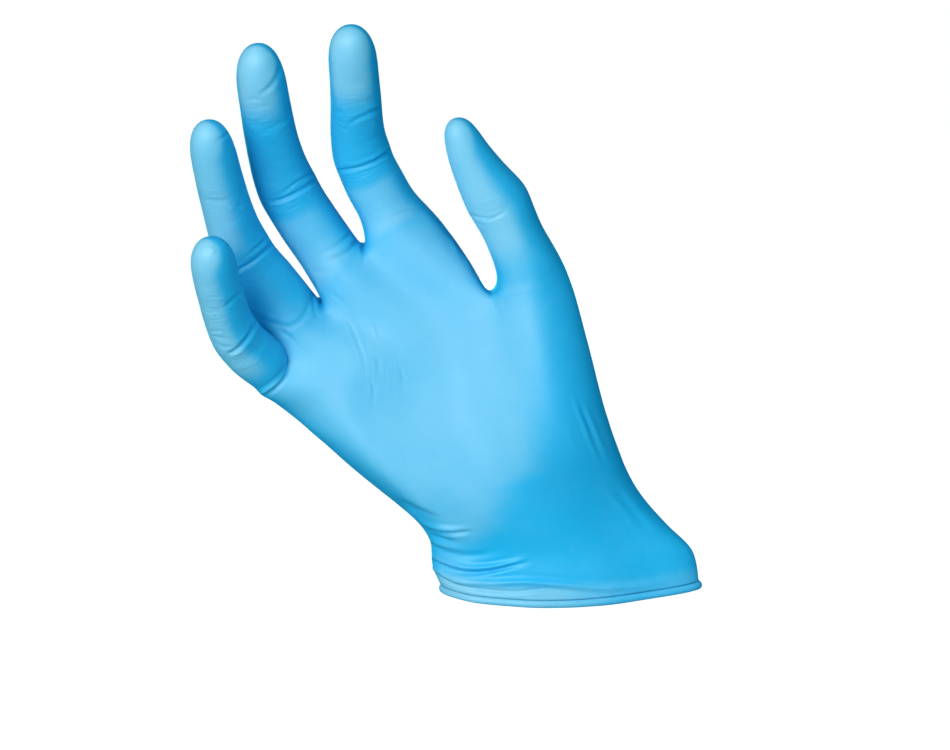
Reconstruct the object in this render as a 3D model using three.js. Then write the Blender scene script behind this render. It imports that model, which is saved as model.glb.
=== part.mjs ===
// A disposable nitrile examination glove, as it sits on a right hand while its cuff is pulled down.
// Millimetres, +Z from the cuff towards the fingertips, palm towards -Y, thumb towards +X.
// The origin is where the middle line of the wrist leaves through the rolled rim.
//
// The glove is one dipped film. A coarse net of four-sided faces is laid out in rows, from the
// rim over the wrist and palm to the webs, and goes on as a tube up each finger. It is smoothed
// once, folded, and given its wall and its rolled bead.

import * as THREE from "three";
import { mergeVertices } from "three/addons/utils/BufferGeometryUtils.js";

// Driving dimensions
const WALL = 1.0; // film, drawn thicker than the real 0.1 mm
const BEAD = 2.6; // diameter of the rolled rim
const PALM_BREADTH = 76; // across the knuckles
const PALM_LENGTH = 95; // wrist crease to the webs of the fingers
const PALM_DEPTH = 31; // front to back at the middle of the palm
const CUFF_LENGTH = 26; // rim to wrist crease
const FOLD_HEIGHT = 1.7; // of the gathered film at the wrist
const FOLD_WIDTH = 2.2; // from a fold's ridge to its foot
const CREASE_DEPTH = 0.9; // where a finger bends
const CREASE_WIDTH = 2.6;

// length: knuckle joint to fingertip along the bones. base, breadth and tip: breadths across
// the lowest bone, the middle joint and the pad.
const FINGERS = {
  little: { length: 73.5, base: 15.8, breadth: 15.2, tip: 13.6 },
  ring: { length: 93, base: 19, breadth: 17.3, tip: 13.6 },
  middle: { length: 99.5, base: 18.2, breadth: 18.4, tip: 14.6 },
  index: { length: 88.5, base: 17.8, breadth: 17.6, tip: 14.4 },
  thumb: { length: 97, base: 19.6, breadth: 19.4, tip: 11.8 },
};

const LONG_FINGERS = ["little", "ring", "middle", "index"];

// How each finger is held. root is its knuckle joint: across is a share of PALM_BREADTH, up of
// PALM_LENGTH beyond the wrist crease, out of PALM_DEPTH towards the palm side. bones are shares
// of the length. lean is towards the little finger and tilt towards the palm side, in degrees.
const POSTURE = {
  little: {
    root: { across: -0.698, up: 0.55, out: 0.05 },
    bones: [0.42, 0.275, 0.305],
    lean: [36.5, 5.3, -4],
    tilt: [33, 37, 36],
  },
  ring: {
    root: { across: -0.595, up: 0.641, out: 0 },
    bones: [0.45, 0.27, 0.28],
    lean: [24.4, 3.4, -2.2],
    tilt: [12, 34, 34],
  },
  middle: {
    root: { across: -0.383, up: 0.761, out: -0.1 },
    bones: [0.468, 0.278, 0.254],
    lean: [21.3, 0.5, -6],
    tilt: [10, 33, 35],
  },
  index: {
    root: { across: -0.139, up: 0.858, out: -0.06 },
    bones: [0.438, 0.28, 0.282],
    lean: [16.6, -6.6, -7.8],
    tilt: [10.5, 35, 36],
  },
  thumb: {
    root: { across: 0.34, up: 0.359, out: 0.13 },
    bones: [0.34, 0.345, 0.315],
    lean: [7, 12.5, 17],
    tilt: [14, 10, 17],
  },
};

// Rings up a finger. at is a share of the way from the knuckle joint to the tip. wide and deep
// are shares of the breadth there, and aside a shift towards the thumb's side.
const FINGER_RINGS = [
  { at: 0.24, wide: 1.0, deep: 1.0, aside: 0 },
  { at: 0.32, wide: 1.01, deep: 0.96, aside: 0 },
  { at: 0.4, wide: 0.98, deep: 0.94, aside: 0 },
  { at: 0.46, wide: 1.0, deep: 0.94, aside: 0 },
  { at: 0.55, wide: 0.93, deep: 0.88, aside: 0 },
  { at: 0.67, wide: 0.95, deep: 0.86, aside: 0 },
  { at: 0.8, wide: 0.99, deep: 0.88, aside: 0 },
  { at: 0.89, wide: 0.97, deep: 0.88, aside: 0 },
  { at: 0.96, wide: 0.68, deep: 0.66, aside: 0 },
];
const THUMB_RINGS = [
  { at: 0.45, wide: 1.0, deep: 1.0, aside: 0.02 },
  { at: 0.54, wide: 0.89, deep: 0.94, aside: 0.01 },
  { at: 0.62, wide: 0.9, deep: 0.92, aside: 0.02 },
  { at: 0.69, wide: 0.99, deep: 0.9, aside: 0.01 },
  { at: 0.77, wide: 0.93, deep: 0.88, aside: -0.04 },
  { at: 0.87, wide: 0.94, deep: 0.9, aside: -0.05 },
  { at: 0.96, wide: 0.74, deep: 0.74, aside: 0.02 },
];
// Where a finger goes from its base's breadth to its middle joint's, and on to its tip's
const BASE_TAPER = [0.3, 0.44];
const FINGER_TAPER = [0.45, 0.85];
const THUMB_TAPER = [0.66, 0.95];

// Rows across the glove, from the rim up. across is a share of PALM_BREADTH, up a share of
// CUFF_LENGTH below the wrist crease and of PALM_LENGTH beyond it, each at the little finger's
// edge and at the thumb's. bow lifts the middle of the row, by a share of PALM_BREADTH. web is
// the share of the row on the fingers' side of the thumb's web. front and back are depths
// towards the palm side and away from it, as shares of PALM_DEPTH, at the places that
// DEPTH_COLUMNS names, and edges the depths of the row's two ends.
const ROWS = [
  {
    across: [-0.356, 0.7], up: [-0.58, -1.19], bow: -0.034, web: 0.66,
    front: [0.42, 0.52, 0.5, 0.42, 0.28], back: [0.48, 0.61, 0.55, 0.45, 0.22], edges: [0, 0.04],
  },
  {
    across: [-0.37, 0.705], up: [-0.42, -0.97], bow: -0.02, web: 0.66,
    front: [0.41, 0.51, 0.49, 0.42, 0.28], back: [0.48, 0.61, 0.55, 0.45, 0.22], edges: [0, 0.04],
  },
  {
    across: [-0.372, 0.7], up: [-0.29, -0.81], bow: -0.013, web: 0.66,
    front: [0.4, 0.5, 0.48, 0.42, 0.29], back: [0.47, 0.6, 0.55, 0.46, 0.23], edges: [0, 0.04],
  },
  {
    across: [-0.362, 0.675], up: [-0.16, -0.68], bow: -0.013, web: 0.66,
    front: [0.41, 0.5, 0.48, 0.43, 0.3], back: [0.46, 0.59, 0.54, 0.46, 0.24], edges: [0, 0.04],
  },
  {
    across: [-0.356, 0.635], up: [-0.03, -0.53], bow: -0.013, web: 0.66,
    front: [0.44, 0.52, 0.5, 0.46, 0.32], back: [0.46, 0.58, 0.54, 0.47, 0.25], edges: [0, 0.04],
  },
  {
    across: [-0.386, 0.565], up: [0.055, -0.2], bow: -0.013, web: 0.66,
    front: [0.51, 0.6, 0.57, 0.53, 0.4], back: [0.45, 0.56, 0.52, 0.46, 0.25], edges: [0, 0.06],
  },
  {
    across: [-0.482, 0.505], up: [0.16, 0.06], bow: 0, web: 0.66,
    front: [0.58, 0.66, 0.65, 0.68, 0.6], back: [0.42, 0.52, 0.5, 0.42, 0.16], edges: [0.03, 0.2],
  },
  {
    across: [-0.592, 0.478], up: [0.265, 0.18], bow: 0.013, web: 0.66,
    front: [0.61, 0.62, 0.63, 0.79, 0.84], back: [0.42, 0.48, 0.46, 0.36, 0.06], edges: [0.06, 0.39],
  },
  {
    across: [-0.686, 0.46], up: [0.369, 0.32], bow: 0.025, web: 0.68,
    front: [0.59, 0.53, 0.54, 0.77, 0.95], back: [0.42, 0.46, 0.44, 0.3, -0.03], edges: [0.1, 0.48],
  },
  {
    across: [-0.732, 0.452], up: [0.415, 0.486], bow: 0.07, web: 0.71,
    front: [0.56, 0.45, 0.45, 0.66, 0.9], back: [0.42, 0.45, 0.42, 0.16, -0.1], edges: [0.13, 0.48],
  },
  {
    across: [-0.772, 0.437], up: [0.455, 0.722], bow: 0.132, web: 0.74,
    front: [0.55, 0.42, 0.42, 0.54, 0.8], back: [0.42, 0.43, 0.38, -0.18, -0.12], edges: [0.15, 0.46],
  },
];

// The webs of the fingers with the palm's two edges there, from the little finger's side. out
// is a share of PALM_DEPTH, towards the palm side.
const WEBS = [
  { across: -0.884, up: 0.598, out: 0.16 },
  { across: -0.737, up: 0.688, out: 0.16 },
  { across: -0.546, up: 0.82, out: 0.04 },
  { across: -0.349, up: 0.978, out: 0.0 },
  { across: -0.062, up: 1.026, out: 0.0 },
];
// Shares of PALM_DEPTH towards the palm side and behind, at a web and amid a finger's base
const WEB_DEPTHS = [0.24, 0.22];
const KNUCKLE_DEPTHS = [0.38, 0.3];
const EDGE_BULGE = 0.025; // of the edge from thumb to index finger, as a share of PALM_BREADTH
const WEB_DIP = 0.035; // of a web below the line of the fingers' bases, as a share of PALM_LENGTH
const ROWS_TO_FINGERS = 3; // steps from the thumb's web to the fingers' bases

// Gathers of the film. from, through and to are [across, up] on the palm side or behind.
// height is a share of FOLD_HEIGHT, width one of FOLD_WIDTH.
const FOLDS = [
  { side: "palm", from: [-0.4, 0.075], through: [-0.25, 0.026], to: [-0.1, 0.01], height: 0.7, width: 0.9 },
  { side: "palm", from: [-0.4, 0.02], through: [-0.29, -0.04], to: [-0.16, -0.08], height: 0.6, width: 0.8 },
  { side: "palm", from: [-0.38, -0.17], through: [-0.16, -0.39], to: [0.1, -0.41], height: 0.8, width: 1 },
  { side: "palm", from: [-0.39, -0.24], through: [-0.14, -0.56], to: [0.24, -0.82], height: 1, width: 1.1 },
  { side: "back", from: [-0.4, 0.06], through: [-0.2, 0.02], to: [0.05, 0.02], height: 0.7, width: 1 },
  { side: "back", from: [-0.39, -0.2], through: [-0.1, -0.4], to: [0.3, -0.6], height: 0.9, width: 1.1 },
];
const FOLD_STEPS = 12; // straight steps along a fold
const FOLD_END = 0.4; // share of its length over which a fold dies away
const FOLD_TURN = [-0.35, 0.25]; // how far the film faces the fold's side where it starts to show
const VALLEY = { below: 1.5, depth: 0.45 }; // under a fold: how far, in widths, and how deep

// Creases across the pads, at the second and third joint of each finger. depth is a share of
// CREASE_DEPTH, width one of CREASE_WIDTH.
const CREASES = [
  { joint: 1, depth: 1, width: 1 },
  { joint: 2, depth: 0.7, width: 0.9 },
];

const CREASE_REACH = 0.8; // of a crease from the joint, in breadths of its finger

const SIDES = 8; // points round a finger, the second of them amid its pad
const COLUMNS = 10; // across the palm: two for each finger and two for the thumb
const SPLIT_COLUMN = 8;
const DEPTH_COLUMNS = [1, 4, 6, 8, 9]; // little edge, palm, index, thumb's web, thumb
const INSET = 0.055; // of the outermost columns from a row's ends
const EDGE_FULLNESS = 0.62; // of the outermost columns' depth
const BEAD_STATIONS = [-60, 0, 60, 120, 180, 230]; // round the bead, in degrees from outwards
const BEAD_DROP = 0.8; // of the bead's centre below the film's edge, in radii of the bead
const ROUNDING = 1.085; // what smoothing takes off a tube of eight sides

const heightOf = (up) => CUFF_LENGTH + up * (up < 0 ? CUFF_LENGTH : PALM_LENGTH);
const mix = (a, b, t) => a + (b - a) * t;
const arch = (t) => 4 * t * (1 - t);
const bell = (x) => Math.exp(-x * x);

const placeOf = ({ across, up, out }) =>
  new THREE.Vector3(across * PALM_BREADTH, -out * PALM_DEPTH, heightOf(up));

// One net of points and four-sided faces
class Net {
  points = [];
  faces = [];
  add(point) {
    this.points.push(point);
    return this.points.length - 1;
  }
  // A ring of faces between two closed rows of point numbers of the same length
  strip(lower, upper) {
    lower.forEach((number, i) => {
      const j = (i + 1) % lower.length;
      this.faces.push([number, lower[j], upper[j], upper[i]]);
    });
  }
}

// Depth of a row at one of its columns, from its depths at the named places
function depthAt(depths, edges, column) {
  const first = DEPTH_COLUMNS[0];
  const last = DEPTH_COLUMNS.at(-1);
  if (column < first) return mix(edges[0], depths[0], EDGE_FULLNESS);
  if (column > last) return mix(edges[1], depths.at(-1), EDGE_FULLNESS);
  const k = Math.max(1, DEPTH_COLUMNS.findIndex((c) => c >= column));
  const [from, to] = [DEPTH_COLUMNS[k - 1], DEPTH_COLUMNS[k]];
  return mix(depths[k - 1], depths[k], (column - from) / (to - from));
}

// The points of one row: front and back from the little finger's side to the thumb's, and one
// at each end
function rowPoints(row) {
  const place = (s, out) =>
    new THREE.Vector3(
      mix(row.across[0], row.across[1], s) * PALM_BREADTH,
      -out * PALM_DEPTH,
      mix(heightOf(row.up[0]), heightOf(row.up[1]), s) + arch(s) * row.bow * PALM_BREADTH,
    );
  const front = [];
  const back = [];
  const backEdges = row.edges.map((out) => -out);
  for (let j = 0; j <= COLUMNS; j++) {
    const share =
      j <= SPLIT_COLUMN
        ? (row.web * j) / SPLIT_COLUMN
        : mix(row.web, 1, (j - SPLIT_COLUMN) / (COLUMNS - SPLIT_COLUMN));
    const s = mix(INSET, 1 - INSET, share);
    front.push(place(s, depthAt(row.front, row.edges, j)));
    back.push(place(s, -depthAt(row.back, backEdges, j)));
  }
  return { front, back, ends: [place(0, row.edges[0]), place(1, row.edges[1])] };
}

// How far a finger's first bone tilts, in radians, with the outermost fingers' beyond the ends
function baseTilt(number) {
  const name = LONG_FINGERS[THREE.MathUtils.clamp(number, 0, LONG_FINGERS.length - 1)];
  return THREE.MathUtils.degToRad(POSTURE[name].tilt[0]);
}

// The row at the fingers' bases, laid out like a row of the palm and turned with the fingers
function fingerBaseRow() {
  const web = WEBS.map(placeOf);
  const front = [];
  const back = [];
  for (let j = 0; j <= SPLIT_COLUMN; j++) {
    const isWeb = j % 2 === 0;
    const at = isWeb
      ? web[j / 2].clone()
      : web[(j - 1) / 2].clone().lerp(web[(j + 1) / 2], 0.5);
    const [ahead, behind] = (isWeb ? WEB_DEPTHS : KNUCKLE_DEPTHS).map((d) => d * PALM_DEPTH);
    const tilts = [Math.floor((j - 1) / 2), Math.floor(j / 2)].map((f) => baseTilt(f));
    const turn = Math.tan((tilts[0] + tilts[1]) / 4);
    if (isWeb && j > 0 && j < SPLIT_COLUMN) at.z -= WEB_DIP * PALM_LENGTH;
    front.push(at.clone().add(new THREE.Vector3(0, -ahead, -ahead * turn)));
    back.push(at.clone().add(new THREE.Vector3(0, behind, behind * turn)));
  }
  return { front, back, ends: [web[0], web[SPLIT_COLUMN / 2]] };
}

// A finger's centre line and, at any share of it, the directions across it and to its pad
function fingerLine(name) {
  const { length } = FINGERS[name];
  const { root, bones, lean, tilt } = POSTURE[name];
  const joint = placeOf(root);
  const joints = [joint.clone()];
  bones.forEach((share, i) => {
    const a = THREE.MathUtils.degToRad(lean[i]);
    const b = THREE.MathUtils.degToRad(tilt[i]);
    const way = new THREE.Vector3(
      -Math.sin(a) * Math.cos(b),
      -Math.sin(b),
      Math.cos(a) * Math.cos(b),
    );
    joint.addScaledVector(way, share * length);
    joints.push(joint.clone());
  });
  return new THREE.CatmullRomCurve3(joints, false, "centripetal");
}

// A place on a finger's centre line, with the ways along the finger and to its pad
function frameAt(line, at) {
  const along = line.getTangentAt(at);
  const pad = new THREE.Vector3(0, -1, 0);
  pad.addScaledVector(along, -pad.dot(along)).normalize();
  return { centre: line.getPointAt(at), along, pad };
}

// A ring of points round a finger's centre line, numbered like its base
function ringPoints(line, ring, size, taperFrom) {
  const { smoothstep } = THREE.MathUtils;
  const low = mix(size.base, size.breadth, smoothstep(ring.at, ...BASE_TAPER));
  const breadth = mix(low, size.tip, smoothstep(ring.at, ...taperFrom));
  const { centre, along, pad } = frameAt(line, ring.at);
  const side = new THREE.Vector3().crossVectors(along, pad).negate();
  centre.addScaledVector(side, -ring.aside * breadth);
  const points = [];
  for (let k = 0; k < SIDES; k++) {
    const angle = ((k - 1) * 2 * Math.PI) / SIDES;
    points.push(
      centre
        .clone()
        .addScaledVector(side, -Math.sin(angle) * ring.wide * breadth * 0.5 * ROUNDING)
        .addScaledVector(pad, Math.cos(angle) * ring.deep * breadth * 0.5 * ROUNDING),
    );
  }
  return points;
}

// Carries a tube from its base loop up a finger and closes its tip
function addFinger(net, base, name, rings, taper) {
  const line = fingerLine(name);
  let below = base;
  for (const ring of rings) {
    const numbers = ringPoints(line, ring, FINGERS[name], taper).map((p) => net.add(p));
    net.strip(below, numbers);
    below = numbers;
  }
  const tip = net.add(line.getPointAt(1));
  for (let corner = 0; corner < SIDES; corner += 2) {
    const [before, after] = [below.at(corner - 1), below[corner + 1]];
    net.faces.push([before, below[corner], after, tip]);
  }
}

// The whole glove as a coarse net, open at the rim
function gloveNet() {
  const net = new Net();
  const number = (points) => points.map((p) => net.add(p));
  let below = null;
  let rim = null;
  const rows = ROWS.map(rowPoints);
  rows.forEach((row) => {
    const front = number(row.front);
    const right = net.add(row.ends[1]);
    const back = number(row.back);
    const left = net.add(row.ends[0]);
    const loop = [...front, right, ...back.slice().reverse(), left];
    if (below) net.strip(below.loop, loop);
    else rim = loop;
    below = { front, back, left, right, loop };
  });

  // The thumb's web lies between the front and back of the last row
  const last = rows.at(-1);
  const middle = last.front[SPLIT_COLUMN].clone().lerp(last.back[SPLIT_COLUMN], 0.5);
  const web = net.add(middle);
  const thumbBase = [
    ...below.front.slice(SPLIT_COLUMN),
    below.right,
    ...below.back.slice(SPLIT_COLUMN).reverse(),
    web,
  ];
  addFinger(net, thumbBase, "thumb", THUMB_RINGS, THUMB_TAPER);

  // The palm goes on to the fingers' bases, with the thumb's web as its edge
  const top = fingerBaseRow();
  const start = {
    front: last.front.slice(0, SPLIT_COLUMN + 1),
    back: last.back.slice(0, SPLIT_COLUMN + 1),
    ends: [last.ends[0], middle],
  };
  let row = {
    front: below.front.slice(0, SPLIT_COLUMN + 1),
    back: below.back.slice(0, SPLIT_COLUMN + 1),
    left: below.left,
    right: web,
  };
  for (let k = 1; k <= ROWS_TO_FINGERS; k++) {
    const t = k / ROWS_TO_FINGERS;
    const between = (a, b) => a.map((p, i) => p.clone().lerp(b[i], t));
    const ends = between(start.ends, top.ends);
    ends[1].x += arch(t) * EDGE_BULGE * PALM_BREADTH;
    const front = number(between(start.front, top.front));
    const right = net.add(ends[1]);
    const back = number(between(start.back, top.back));
    const left = net.add(ends[0]);
    const next = { front, back, left, right };
    const loopOf = (r) => [...r.front, r.right, ...r.back.slice().reverse(), r.left];
    net.strip(loopOf(row), loopOf(next));
    row = next;
  }
  const webs = [row.left];
  for (let j = 2; j < SPLIT_COLUMN; j += 2) {
    webs.push(net.add(top.front[j].clone().lerp(top.back[j], 0.5)));
  }
  webs.push(row.right);
  LONG_FINGERS.forEach((name, f) => {
    const base = [
      ...row.front.slice(2 * f, 2 * f + 3),
      webs[f + 1],
      ...row.back.slice(2 * f, 2 * f + 3).reverse(),
      webs[f],
    ];
    addFinger(net, base, name, FINGER_RINGS, FINGER_TAPER);
  });
  return { net, rim };
}

// One round of Catmull-Clark smoothing. The rim stays the edge of the net.
function smooth(net) {
  const { points, faces } = net;
  const made = new Net();
  const edges = new Map();
  const facesAt = points.map(() => []);
  const edgesAt = points.map(() => []);
  const faceMiddles = faces.map((face, f) => {
    const middle = new THREE.Vector3();
    face.forEach((v, i) => {
      middle.add(points[v]);
      facesAt[v].push(f);
      const w = face[(i + 1) % 4];
      const key = v < w ? `${v},${w}` : `${w},${v}`;
      if (!edges.has(key)) {
        edges.set(key, { ends: [v, w], faces: [] });
        edgesAt[v].push(key);
        edgesAt[w].push(key);
      }
      edges.get(key).faces.push(f);
    });
    return middle.multiplyScalar(0.25);
  });
  points.forEach((p, v) => {
    const around = edgesAt[v].map((key) => edges.get(key));
    const open = around.filter((e) => e.faces.length === 1);
    const moved = new THREE.Vector3();
    if (open.length) {
      for (const e of open) moved.addScaledVector(points[e.ends[0] + e.ends[1] - v], 1 / 8);
      moved.addScaledVector(p, 6 / 8);
    } else {
      const n = around.length;
      for (const f of facesAt[v]) moved.addScaledVector(faceMiddles[f], 1 / (n * n));
      for (const e of around) moved.addScaledVector(points[e.ends[0] + e.ends[1] - v], 1 / (n * n));
      moved.addScaledVector(p, (n - 2) / n);
    }
    made.add(moved);
  });
  for (const e of edges.values()) {
    const middle = points[e.ends[0]].clone().add(points[e.ends[1]]).multiplyScalar(0.5);
    if (e.faces.length === 2) {
      middle.multiplyScalar(0.5);
      for (const f of e.faces) middle.addScaledVector(faceMiddles[f], 0.25);
    }
    e.number = made.add(middle);
  }
  const edgeNumber = (v, w) => edges.get(v < w ? `${v},${w}` : `${w},${v}`).number;
  faces.forEach((face, f) => {
    const centre = made.add(faceMiddles[f]);
    face.forEach((v, i) => {
      const before = face[(i + 3) % 4];
      const after = face[(i + 1) % 4];
      made.faces.push([v, edgeNumber(v, after), centre, edgeNumber(before, v)]);
    });
  });
  return { net: made, edgeNumber };
}

// Outward directions at the points of a net
function normals(net) {
  const out = net.points.map(() => new THREE.Vector3());
  const a = new THREE.Vector3();
  const b = new THREE.Vector3();
  for (const [p, q, r, s] of net.faces) {
    a.subVectors(net.points[r], net.points[p]);
    b.subVectors(net.points[s], net.points[q]);
    const n = a.clone().cross(b);
    for (const v of [p, q, r, s]) out[v].add(n);
  }
  return out.map((n) => n.normalize());
}

// The folds' ridges as evenly spaced points, seen from the palm side
function foldLines() {
  const place = ([across, up]) => new THREE.Vector3(across * PALM_BREADTH, 0, heightOf(up));
  return FOLDS.map((fold) => {
    const ridge = new THREE.CatmullRomCurve3([fold.from, fold.through, fold.to].map(place));
    const steps = Array.from({ length: FOLD_STEPS + 1 }, (_, i) => i / FOLD_STEPS);
    const points = steps.map((at) => ({ at, on: ridge.getPoint(at), along: ridge.getTangent(at) }));
    return { fold, points };
  });
}

// How far the folds lift the film at a point
function foldLift(point, outward, lines) {
  const flat = point.clone().setY(0);
  let lift = 0;
  for (const { fold, points } of lines) {
    const facing = fold.side === "palm" ? -outward.y : outward.y;
    const shown = THREE.MathUtils.smoothstep(facing, ...FOLD_TURN);
    const near = points.reduce((a, b) => (b.on.distanceTo(flat) < a.on.distanceTo(flat) ? b : a));
    const away = flat.clone().sub(near.on);
    const above = near.along.x * away.z - near.along.z * away.x;
    const past = near.along.dot(away);
    const width = fold.width * FOLD_WIDTH;
    const left = THREE.MathUtils.smoothstep(1 - near.at, 0, FOLD_END);
    const strength = shown * left * bell(past / (2 * width));
    const section = bell(above / width) - VALLEY.depth * bell(above / width + VALLEY.below);
    lift += strength * section * fold.height * FOLD_HEIGHT;
  }
  return lift;
}

// How deep the creases at the fingers' joints press the film in at a point
function creaseDepth(point, outward, joints) {
  let depth = 0;
  for (const { centre, along, pad, breadth, crease } of joints) {
    const away = point.clone().sub(centre);
    const up = away.dot(along);
    if (away.addScaledVector(along, -up).length() > breadth * CREASE_REACH) continue;
    const facing = Math.max(0, outward.dot(pad));
    depth += crease.depth * CREASE_DEPTH * facing * bell(up / (crease.width * CREASE_WIDTH));
  }
  return depth;
}

// The places of the creases: a joint's centre, the way along the finger and the way to its pad
function creasedJoints() {
  return Object.keys(FINGERS).flatMap((name) => {
    const line = fingerLine(name);
    return CREASES.map((crease) => {
      const at = POSTURE[name].bones.slice(0, crease.joint).reduce((sum, share) => sum + share, 0);
      return { ...frameAt(line, at), breadth: FINGERS[name].breadth, crease };
    });
  });
}

// Presses the folds and creases into the smoothed film
function crumple(net) {
  const outwards = normals(net);
  const joints = creasedJoints();
  const lines = foldLines();
  net.points.forEach((point, v) => {
    const lift = foldLift(point, outwards[v], lines) - creaseDepth(point, outwards[v], joints);
    point.addScaledVector(outwards[v], lift);
  });
}

// The closed wall: the outside, the rolled bead round the rim, and the inside
function gloveGeometry() {
  const coarse = gloveNet();
  const { net, edgeNumber } = smooth(coarse.net);
  const rim = [];
  coarse.rim.forEach((v, i) => {
    rim.push(v, edgeNumber(v, coarse.rim[(i + 1) % coarse.rim.length]));
  });
  crumple(net);
  const outwards = normals(net);
  const solid = new Net();
  const outside = net.points.map((p) => solid.add(p.clone()));
  const inside = net.points.map((p, v) => solid.add(p.clone().addScaledVector(outwards[v], -WALL)));
  for (const face of net.faces) {
    solid.faces.push(face.map((v) => outside[v]));
    solid.faces.push(face.map((v) => inside[v]).reverse());
  }
  // The bead's section goes from the outside under the rim to the inside
  const radius = BEAD / 2;
  let below = rim.map((v) => outside[v]);
  for (const degrees of BEAD_STATIONS) {
    const a = THREE.MathUtils.degToRad(degrees);
    const loop = rim.map((v) => {
      const section = outwards[v].clone().multiplyScalar(radius * Math.cos(a) - WALL / 2);
      section.z -= radius * (Math.sin(a) + BEAD_DROP);
      return solid.add(section.add(net.points[v]));
    });
    solid.strip(loop, below);
    below = loop;
  }
  solid.strip(rim.map((v) => inside[v]), below);

  const geometry = new THREE.BufferGeometry();
  geometry.setAttribute(
    "position",
    new THREE.Float32BufferAttribute(solid.points.flatMap((p) => p.toArray()), 3),
  );
  geometry.setIndex(solid.faces.flatMap(([a, b, c, d]) => [a, b, c, a, c, d]));
  return mergeVertices(geometry);
}

const nitrile = new THREE.MeshStandardMaterial({ color: 0x5cc0f2, roughness: 0.42, metalness: 0 });
const glove = new THREE.Mesh(gloveGeometry(), nitrile);
glove.name = "glove";

const group = new THREE.Group();
group.add(glove);
export default group;
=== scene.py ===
import math

import bpy
import numpy as np
from bpy.props import FloatProperty, FloatVectorProperty, IntProperty, PointerProperty
from mathutils import Matrix, Vector


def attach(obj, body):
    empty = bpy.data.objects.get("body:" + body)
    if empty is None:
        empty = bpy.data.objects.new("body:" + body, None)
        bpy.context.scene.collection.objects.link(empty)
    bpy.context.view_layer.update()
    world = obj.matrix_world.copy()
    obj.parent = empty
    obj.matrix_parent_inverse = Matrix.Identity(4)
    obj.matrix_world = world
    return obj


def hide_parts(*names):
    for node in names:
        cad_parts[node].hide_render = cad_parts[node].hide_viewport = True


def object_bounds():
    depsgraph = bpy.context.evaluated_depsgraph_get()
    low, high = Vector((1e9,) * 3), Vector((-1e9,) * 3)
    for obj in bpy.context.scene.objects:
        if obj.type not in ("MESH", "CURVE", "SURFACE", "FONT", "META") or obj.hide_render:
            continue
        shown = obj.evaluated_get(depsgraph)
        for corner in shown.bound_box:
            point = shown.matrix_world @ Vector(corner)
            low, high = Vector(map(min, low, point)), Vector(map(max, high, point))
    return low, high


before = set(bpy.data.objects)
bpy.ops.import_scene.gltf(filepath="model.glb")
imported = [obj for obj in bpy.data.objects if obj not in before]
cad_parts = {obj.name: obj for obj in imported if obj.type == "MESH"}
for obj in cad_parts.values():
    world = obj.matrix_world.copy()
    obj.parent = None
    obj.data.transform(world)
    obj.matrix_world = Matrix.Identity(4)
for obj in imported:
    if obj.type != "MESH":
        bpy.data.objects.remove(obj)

bl_info = {
    "name": "Nitrile glove",
    "version": (1, 0, 0),
    "blender": (4, 5, 0),
    "location": "3D View > Sidebar > Nitrile glove",
    "description": "Builds a worn nitrile examination glove with its film, folds and rolled bead",
    "category": "Add Mesh",
}

MM = 0.001
CAD_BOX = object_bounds()

# The net of the film. Lengths are in millimetres, and shares are of the panel's sizes.
# length: knuckle joint to fingertip along the bones. base, breadth and tip: breadths across the
# lowest bone, the middle joint and the pad. root is the knuckle joint, bones are shares of the
# length, lean is towards the little finger and tilt towards the palm side, in degrees.
FINGER_COLUMNS = ("length", "base", "breadth", "tip", "root", "bones", "lean", "tilt")
FINGERS = {name: dict(zip(FINGER_COLUMNS, row)) for name, *row in (
    ("little", 73.5, 15.8, 15.2, 13.6, (-0.698, 0.55, 0.05), (0.42, 0.275, 0.305),
     (36.5, 5.3, -4), (33, 37, 36)),
    ("ring", 93, 19, 17.3, 13.6, (-0.595, 0.641, 0), (0.45, 0.27, 0.28),
     (24.4, 3.4, -2.2), (12, 34, 34)),
    ("middle", 99.5, 18.2, 18.4, 14.6, (-0.383, 0.761, -0.1), (0.468, 0.278, 0.254),
     (21.3, 0.5, -6), (10, 33, 35)),
    ("index", 88.5, 17.8, 17.6, 14.4, (-0.139, 0.858, -0.06), (0.438, 0.28, 0.282),
     (16.6, -6.6, -7.8), (10.5, 35, 36)),
    ("thumb", 97, 19.6, 19.4, 11.8, (0.34, 0.359, 0.13), (0.34, 0.345, 0.315),
     (7, 12.5, 17), (14, 10, 17)),
)}
LONG_FINGERS = ("little", "ring", "middle", "index")

# Rings up a finger: share of the way to the tip, breadth, depth and shift to the thumb's side
FINGER_RINGS = (
    (0.24, 1.0, 1.0, 0), (0.32, 1.01, 0.96, 0), (0.4, 0.98, 0.94, 0), (0.46, 1.0, 0.94, 0),
    (0.55, 0.93, 0.88, 0), (0.67, 0.95, 0.86, 0), (0.8, 0.99, 0.88, 0), (0.89, 0.97, 0.88, 0),
    (0.96, 0.68, 0.66, 0),
)
THUMB_RINGS = (
    (0.45, 1.0, 1.0, 0.02), (0.54, 0.89, 0.94, 0.01), (0.62, 0.9, 0.92, 0.02),
    (0.69, 0.99, 0.9, 0.01), (0.77, 0.93, 0.88, -0.04), (0.87, 0.94, 0.9, -0.05),
    (0.96, 0.74, 0.74, 0.02),
)
# Between which shares of its length a finger goes over from base to breadth, and on to tip
BASE_TAPER = (0.3, 0.44)
FINGER_TAPER = (0.45, 0.85)
THUMB_TAPER = (0.66, 0.95)

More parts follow.
